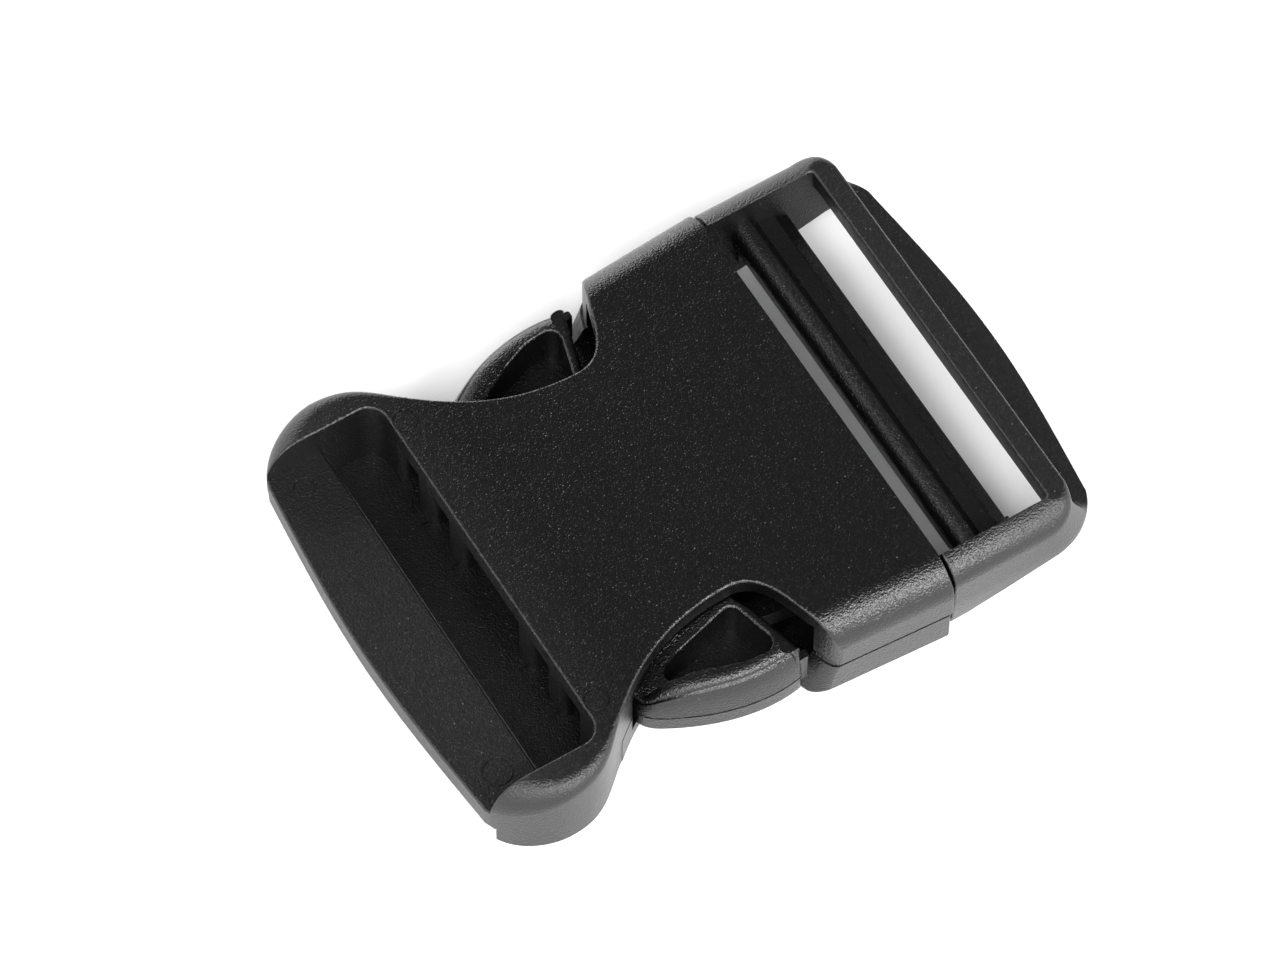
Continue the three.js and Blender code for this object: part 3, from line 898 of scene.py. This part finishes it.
# %% Material
def acetal(name, roughness):
    material = bpy.data.materials.new(name)
    material.use_nodes = True
    tree = material.node_tree
    shader = tree.nodes["Principled BSDF"]
    shader.inputs["IOR"].default_value = 1.5
    place = tree.nodes.new("ShaderNodeTexCoord").outputs["Object"]

    def noise(scale):
        node = tree.nodes.new("ShaderNodeTexNoise")
        node.inputs["Scale"].default_value = scale
        node.inputs["Detail"].default_value = 1
        tree.links.new(place, node.inputs["Vector"])
        return node.outputs["Fac"]

    def bump(height, distance, normal=None):
        node = tree.nodes.new("ShaderNodeBump")
        node.inputs["Distance"].default_value = distance
        node.inputs["Strength"].default_value = 1
        tree.links.new(height, node.inputs["Height"])
        if normal:
            tree.links.new(normal, node.inputs["Normal"])
        return node.outputs["Normal"]

    def remap(value, low, high, first, last):
        node = tree.nodes.new("ShaderNodeMapRange")
        for socket_name, number in zip(
            ("From Min", "From Max", "To Min", "To Max"), (low, high, first, last)
        ):
            node.inputs[socket_name].default_value = number
        tree.links.new(value, node.inputs["Value"])
        return node.outputs["Result"]

    peel = bump(noise(1800), 0.02 * MM)
    grain = bump(noise(4200), 0.1 * MM, peel)
    tree.links.new(grain, shader.inputs["Normal"])
    # Both ends of the buckle look a little duller than its middle, so the roughness rises to them.
    along = tree.nodes.new("ShaderNodeSeparateXYZ")
    tree.links.new(place, along.inputs["Vector"])
    off_middle = tree.nodes.new("ShaderNodeMath")
    off_middle.operation = "ABSOLUTE"
    tree.links.new(along.outputs["X"], off_middle.inputs[0])
    end_roughness = roughness + 0.14
    dull = remap(off_middle.outputs["Value"], 19 * MM, 35 * MM, roughness, end_roughness)
    tree.links.new(dull, shader.inputs["Roughness"])

    cells = tree.nodes.new("ShaderNodeTexVoronoi")
    cells.inputs["Scale"].default_value = 700
    tree.links.new(place, cells.inputs["Vector"])
    speck = remap(cells.outputs["Distance"], 0.04, 0.07, 1, 0)
    colour = tree.nodes.new("ShaderNodeMix")
    colour.data_type = "RGBA"
    colour.inputs["A"].default_value = (0.0012, 0.0012, 0.0013, 1)
    colour.inputs["B"].default_value = (0.08, 0.08, 0.08, 1)
    tree.links.new(speck, colour.inputs["Factor"])
    tree.links.new(colour.outputs["Result"], shader.inputs["Base Color"])
    return material


black = acetal("black_acetal", 0.28)
for piece in pieces.values():
    piece.data.materials.clear()
    piece.data.materials.append(black)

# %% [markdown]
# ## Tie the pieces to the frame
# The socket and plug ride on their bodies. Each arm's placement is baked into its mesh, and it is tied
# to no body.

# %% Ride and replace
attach(socket, "socket")
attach(plug, "plug")
for side, name in ((1, "latch_arm_left"), (-1, "latch_arm_right")):
    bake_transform(pieces[name])
for node, piece in pieces.items():
    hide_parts(node)

# %% [markdown]
# ## Studio
# A white floor, a bright room with one dark part high on the far side, and three soft lights. The top
# plate mirrors the dark part, so it stays nearly black, and the rounded sides mirror the bright room
# and floor. Without that dark part a black moulding looks grey.

# %% Floor, lights and camera
scene = bpy.context.scene
scene.view_settings.view_transform = "Standard"
bpy.ops.mesh.primitive_plane_add(size=3)
floor = bpy.context.object
floor.name = "floor"
white = bpy.data.materials.new("floor_white")
white.use_nodes = True
white.node_tree.nodes["Principled BSDF"].inputs["Base Color"].default_value = (0.9, 0.9, 0.9, 1)
white.node_tree.nodes["Principled BSDF"].inputs["Roughness"].default_value = 1
floor.data.materials.append(white)

world = bpy.data.worlds.new("room")
world.use_nodes = True
scene.world = world
tree = world.node_tree
tree.nodes["Background"].inputs["Color"].default_value = (1, 1, 1, 1)
sky = tree.nodes.new("ShaderNodeTexCoord").outputs["Generated"]
toward = tree.nodes.new("ShaderNodeVectorMath")
toward.operation = "DOT_PRODUCT"
toward.inputs[1].default_value = Vector((0.32, 0.4, 0.86)).normalized()
tree.links.new(sky, toward.inputs[0])
fade = tree.nodes.new("ShaderNodeMapRange")
fade.interpolation_type = "SMOOTHSTEP"
for label, number in (("From Min", 0.36), ("From Max", 0.83), ("To Min", 2.4), ("To Max", 0.14)):
    fade.inputs[label].default_value = number
tree.links.new(toward.outputs["Value"], fade.inputs["Value"])
tree.links.new(fade.outputs["Result"], tree.nodes["Background"].inputs["Strength"])


def softbox(name, direction, distance, size, radiance):
    """A square area light, aimed at the buckle, by the brightness that it shows."""
    light = bpy.data.lights.new(name, "AREA")
    light.shape = "SQUARE"
    light.size = size
    light.energy = radiance * math.pi * size * size
    lamp = bpy.data.objects.new(name, light)
    scene.collection.objects.link(lamp)
    lamp.location = Vector(direction).normalized() * distance
    lamp.rotation_euler = Vector(direction).to_track_quat("Z", "Y").to_euler()


softbox("front", (0.25, -0.72, 0.64), 0.9, 0.4, 17)
softbox("near the camera", (-0.45, -0.45, 0.8), 1.3, 0.6, 10)
softbox("far side", (0.1, 0.9, 0.3), 1.2, 0.5, 6)

target = Vector((-5.33, 0.51, 13.4)) * MM
camera = bpy.data.cameras.new("camera")
camera.lens = 225
camera.sensor_width = 36
camera.clip_start = 0.01
eye = bpy.data.objects.new("camera", camera)
scene.collection.objects.link(eye)
direction = Vector((-0.2539, -0.4177, 0.8724))
eye.location = target + direction * 0.9362
eye.rotation_euler = direction.to_track_quat("Z", "Y").to_euler()
scene.camera = eye
